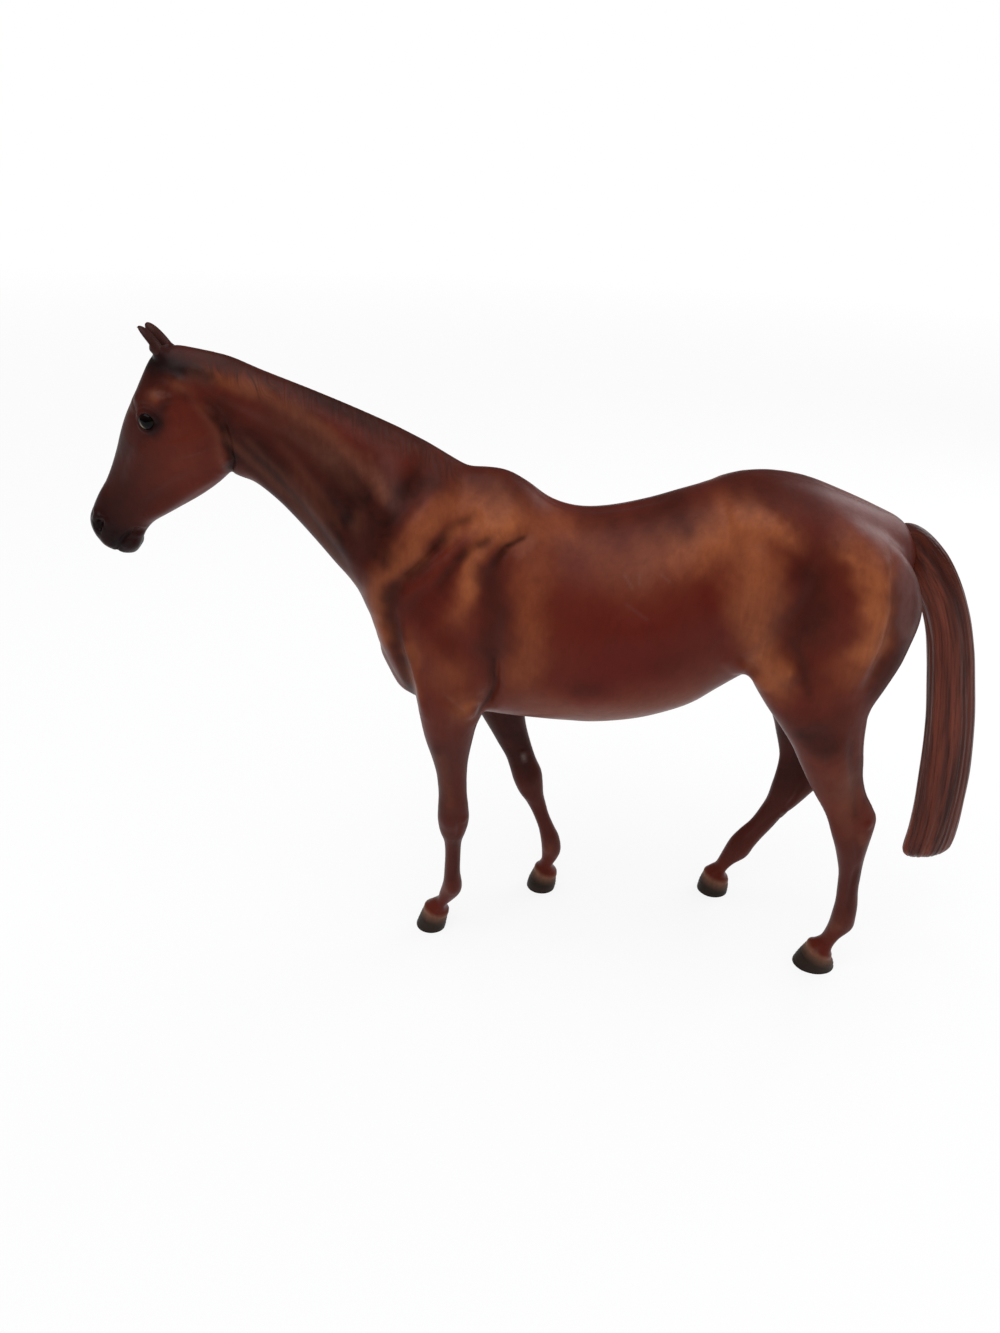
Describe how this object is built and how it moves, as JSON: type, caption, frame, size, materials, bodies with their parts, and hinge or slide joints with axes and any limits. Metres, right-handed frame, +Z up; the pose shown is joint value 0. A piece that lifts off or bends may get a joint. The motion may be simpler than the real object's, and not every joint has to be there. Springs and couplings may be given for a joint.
{
  "type": "toy horse figure",
  "caption": "Walking toy horse figure with a moulded hollow body, plug-in legs, tail and ears, and flat hoof soles to stand on.",
  "frame": {"origin": "on the ground under the figure, half way from the nose to the rear of the tail and half way across the ribs", "axes": "+Z up, -X towards the nose, +X towards the tail, -Y to the horse's own left (near) side"},
  "size_m": [0.3052, 0.0662, 0.2162],
  "materials": {
    "coat_paint": "satin airbrushed red chestnut",
    "leg_paint": "satin dark chestnut",
    "tail_paint": "satin reddish brown",
    "eye_gloss": "high gloss near-black"
  },
  "bodies": {
    "root": {"near_side_casing": "coat_paint", "off_side_casing": "coat_paint", "near_fore_leg": "leg_paint", "off_fore_leg": "leg_paint", "near_hind_leg": "leg_paint", "off_hind_leg": "leg_paint", "tail": "tail_paint", "near_ear": "coat_paint", "off_ear": "coat_paint", "near_eye": "eye_gloss", "off_eye": "eye_gloss"}
  },
  "joints": []
}
